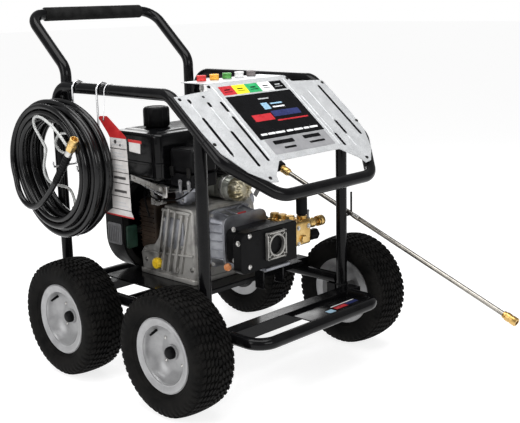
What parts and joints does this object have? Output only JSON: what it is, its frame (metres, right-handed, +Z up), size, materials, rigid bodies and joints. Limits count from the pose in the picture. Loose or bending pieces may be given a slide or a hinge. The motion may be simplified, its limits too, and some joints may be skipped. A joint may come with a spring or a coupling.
{
  "type": "pressure washer",
  "caption": "Petrol pressure washer: an engine driving a plunger pump in a black tube frame with a push handle, air-filled wheels, a sloped panel, a coiled hose and a spray lance.",
  "frame": {"origin": "on the ground, under the middle of the bounding box measured without the hose and the detergent tube", "axes": "+Z up; +Y from the lance's tip and the panel at the front towards the push handle at the rear; +X to the right side when the machine is seen from the front, where the lance hangs"},
  "size_m": [0.836, 1.3568, 1.0204],
  "materials": {
    "black_frame": "gloss black powder coat",
    "foam": "matt black foam",
    "silver_panel": "silver-grey powder coat with fine speckle",
    "tyre": "black rubber with block tread",
    "grey_rim": "grey painted steel",
    "plate_black": "satin black paint",
    "steel": "bright steel",
    "chromed_wire": "chromed wire",
    "cast_aluminium": "as-cast",
    "pump_black": "black paint over a casting",
    "brass": "forged brass",
    "black_plastic": "moulded black",
    "hose_rubber": "smooth black cover",
    "clear_vinyl": "translucent tube",
    "yellow_plastic": "yellow",
    "red_plastic": "red",
    "orange_plastic": "orange",
    "green_plastic": "green",
    "white_plastic": "white",
    "grey_plastic": "grey"
  },
  "bodies": {
    "chassis": {"cage_tube_left": "black_frame", "cage_tube_right": "black_frame", "front_tube": "black_frame", "front_post_left": "black_frame", "front_post_right": "black_frame", "base_frame": "black_frame", "front_bumper": "black_frame", "front_axle": "steel", "rear_axle": "steel", "engine_plate": "plate_black", "handle_tube": "black_frame", "handle_grip": "foam", "control_panel": "silver_panel", "hose_hanger": "chromed_wire", "gun_holster": "black_frame", "hose_coil": "hose_rubber", "hose_lead": "hose_rubber", "hose_fitting": "brass", "siphon_tube": "clear_vinyl", "siphon_strainer": "grey_plastic", "crankcase": "cast_aluminium", "cylinder": "cast_aluminium", "piston": "cast_aluminium", "fan_housing": "black_plastic", "fuel_tank": "black_plastic", "air_cleaner": "black_plastic", "muffler": "steel", "bell_housing": "cast_aluminium", "pump_crankcase": "pump_black", "pump_cover": "cast_aluminium", "pump_head": "brass"},
    "wheel_front_left": {"tyre_front_left": "tyre", "rim_front_left": "grey_rim"},
    "wheel_front_right": {"tyre_front_right": "tyre", "rim_front_right": "grey_rim"},
    "wheel_rear_left": {"tyre_rear_left": "tyre", "rim_rear_left": "grey_rim"},
    "wheel_rear_right": {"tyre_rear_right": "tyre", "rim_rear_right": "grey_rim"},
    "drive": {"crankshaft": "steel", "flywheel_fan": "cast_aluminium", "pump_shaft": "steel"},
    "nozzle_red": {"nozzle_red": "red_plastic"},
    "nozzle_orange": {"nozzle_orange": "orange_plastic"},
    "nozzle_green": {"nozzle_green": "green_plastic"},
    "nozzle_white": {"nozzle_white": "white_plastic"},
    "nozzle_grey": {"nozzle_grey": "grey_plastic"},
    "fuel_cap": {"fuel_cap": "black_plastic"},
    "oil_cap": {"oil_cap": "yellow_plastic"},
    "recoil_handle": {"recoil_handle": "black_plastic"},
    "throttle_lever": {"throttle_lever": "grey_plastic"},
    "choke_lever": {"choke_lever": "grey_plastic"},
    "engine_switch": {"engine_switch": "red_plastic"},
    "unloader_knob": {"unloader_knob": "black_plastic"},
    "outlet_collar": {"outlet_collar": "brass"},
    "inlet_swivel": {"inlet_swivel": "black_plastic"},
    "gun": {"gun_body": "black_plastic", "lance_tube": "steel"},
    "trigger": {"trigger": "red_plastic"},
    "tip_collar": {"tip_collar": "brass"}
  },
  "joints": [
    {"name": "wheel_front_left_spin", "type": "hinge", "parent": "chassis", "child": "wheel_front_left", "pos_m": [-0.355, -0.08443, 0.165], "axis": [1, 0, 0], "continuous": true},
    {"name": "wheel_front_right_spin", "type": "hinge", "parent": "chassis", "child": "wheel_front_right", "pos_m": [0.355, -0.08443, 0.165], "axis": [1, 0, 0], "continuous": true},
    {"name": "wheel_rear_left_spin", "type": "hinge", "parent": "chassis", "child": "wheel_rear_left", "pos_m": [-0.355, 0.35157, 0.165], "axis": [1, 0, 0], "continuous": true},
    {"name": "wheel_rear_right_spin", "type": "hinge", "parent": "chassis", "child": "wheel_rear_right", "pos_m": [0.355, 0.35157, 0.165], "axis": [1, 0, 0], "continuous": true},
    {"name": "drive_spin", "type": "hinge", "parent": "chassis", "child": "drive", "pos_m": [-0.015, 0.13357, 0.38], "axis": [0, 1, 0], "continuous": true},
    {"name": "nozzle_red_lift", "type": "slide", "parent": "chassis", "child": "nozzle_red", "axis": [0, 0, 1], "range_m": [0, 0.04]},
    {"name": "nozzle_orange_lift", "type": "slide", "parent": "chassis", "child": "nozzle_orange", "axis": [0, 0, 1], "range_m": [0, 0.04]},
    {"name": "nozzle_green_lift", "type": "slide", "parent": "chassis", "child": "nozzle_green", "axis": [0, 0, 1], "range_m": [0, 0.04]},
    {"name": "nozzle_white_lift", "type": "slide", "parent": "chassis", "child": "nozzle_white", "axis": [0, 0, 1], "range_m": [0, 0.04]},
    {"name": "nozzle_grey_lift", "type": "slide", "parent": "chassis", "child": "nozzle_grey", "axis": [0, 0, 1], "range_m": [0, 0.04]},
    {"name": "fuel_cap_lift", "type": "slide", "parent": "chassis", "child": "fuel_cap", "axis": [0, 0, 1], "range_m": [0, 0.05]},
    {"name": "oil_cap_turn", "type": "hinge", "parent": "chassis", "child": "oil_cap", "pos_m": [-0.1503, 0.21157, 0.3], "axis": [-1, 0, 0], "range_deg": [0, 360]},
    {"name": "recoil_pull", "type": "slide", "parent": "chassis", "child": "recoil_handle", "axis": [0, 1, 0], "range_m": [0, 0.3], "stiffness_N_per_m": 20},
    {"name": "throttle_swing", "type": "hinge", "parent": "chassis", "child": "throttle_lever", "pos_m": [-0.1653, 0.08857, 0.552], "axis": [1, 0, 0], "range_deg": [-25, 25]},
    {"name": "choke_swing", "type": "hinge", "parent": "chassis", "child": "choke_lever", "pos_m": [-0.1653, 0.05357, 0.552], "axis": [1, 0, 0], "range_deg": [-25, 25]},
    {"name": "switch_turn", "type": "hinge", "parent": "chassis", "child": "engine_switch", "pos_m": [-0.135, 0.38887, 0.495], "axis": [0, 1, 0], "range_deg": [0, 45]},
    {"name": "unloader_turn", "type": "hinge", "parent": "chassis", "child": "unloader_knob", "pos_m": [0.135, -0.08143, 0.47], "axis": [0, 0, 1], "range_deg": [0, 360]},
    {"name": "outlet_collar_slide", "type": "slide", "parent": "chassis", "child": "outlet_collar", "axis": [-1, 0, 0], "range_m": [0, 0.004], "stiffness_N_per_m": 600},
    {"name": "inlet_swivel_turn", "type": "hinge", "parent": "chassis", "child": "inlet_swivel", "pos_m": [0.177, -0.08143, 0.365], "axis": [1, 0, 0], "continuous": true},
    {"name": "gun_lift", "type": "slide", "parent": "chassis", "child": "gun", "axis": [0, 0, 1], "range_m": [0, 0.06]},
    {"name": "trigger_squeeze", "type": "hinge", "parent": "gun", "child": "trigger", "pos_m": [0.3, 0.27497, 0.5512], "axis": [1, 0, 0], "range_deg": [0, 12], "stiffness_Nm_per_rad": 0.4},
    {"name": "tip_collar_slide", "type": "slide", "parent": "gun", "child": "tip_collar", "axis": [0, 0.9314, 0.3641], "range_m": [0, 0.006], "stiffness_N_per_m": 600}
  ]
}
